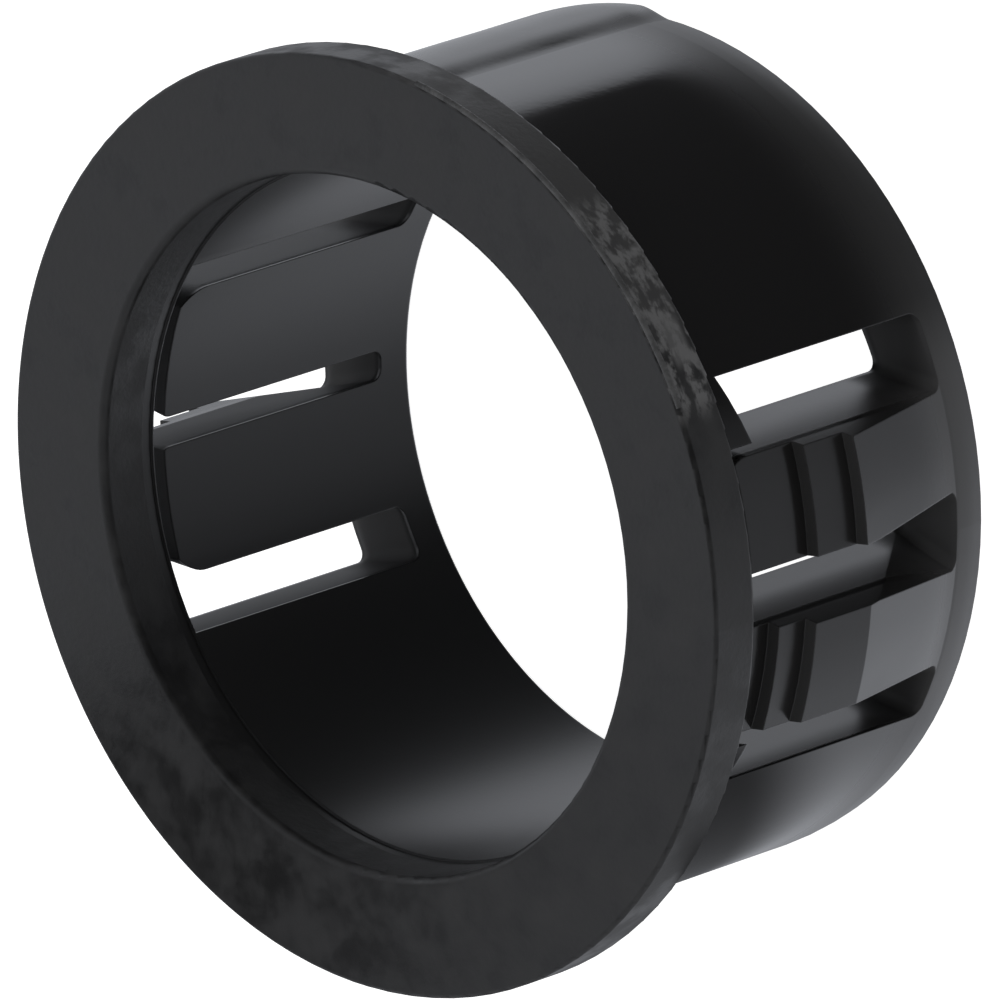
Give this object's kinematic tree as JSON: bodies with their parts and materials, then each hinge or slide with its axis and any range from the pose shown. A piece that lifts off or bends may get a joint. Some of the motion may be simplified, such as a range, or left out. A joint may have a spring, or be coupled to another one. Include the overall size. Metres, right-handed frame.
{
  "type": "snap-in knockout bushing",
  "caption": "Round black nylon bushing with a flat flange, a slotted barrel and stepped snap fingers; lines a panel knockout so that cables pass without chafing.",
  "frame": {"origin": "centre of the panel hole, on the flange's seating face", "axes": "+Z along the bore and out of the flange's front; the slots and snap fingers lie along +X and -X"},
  "size_m": [0.0242, 0.024, 0.011],
  "materials": {
    "black_nylon": "moulded satin black nylon"
  },
  "bodies": {
    "root": {"bushing": "black_nylon"}
  },
  "joints": []
}
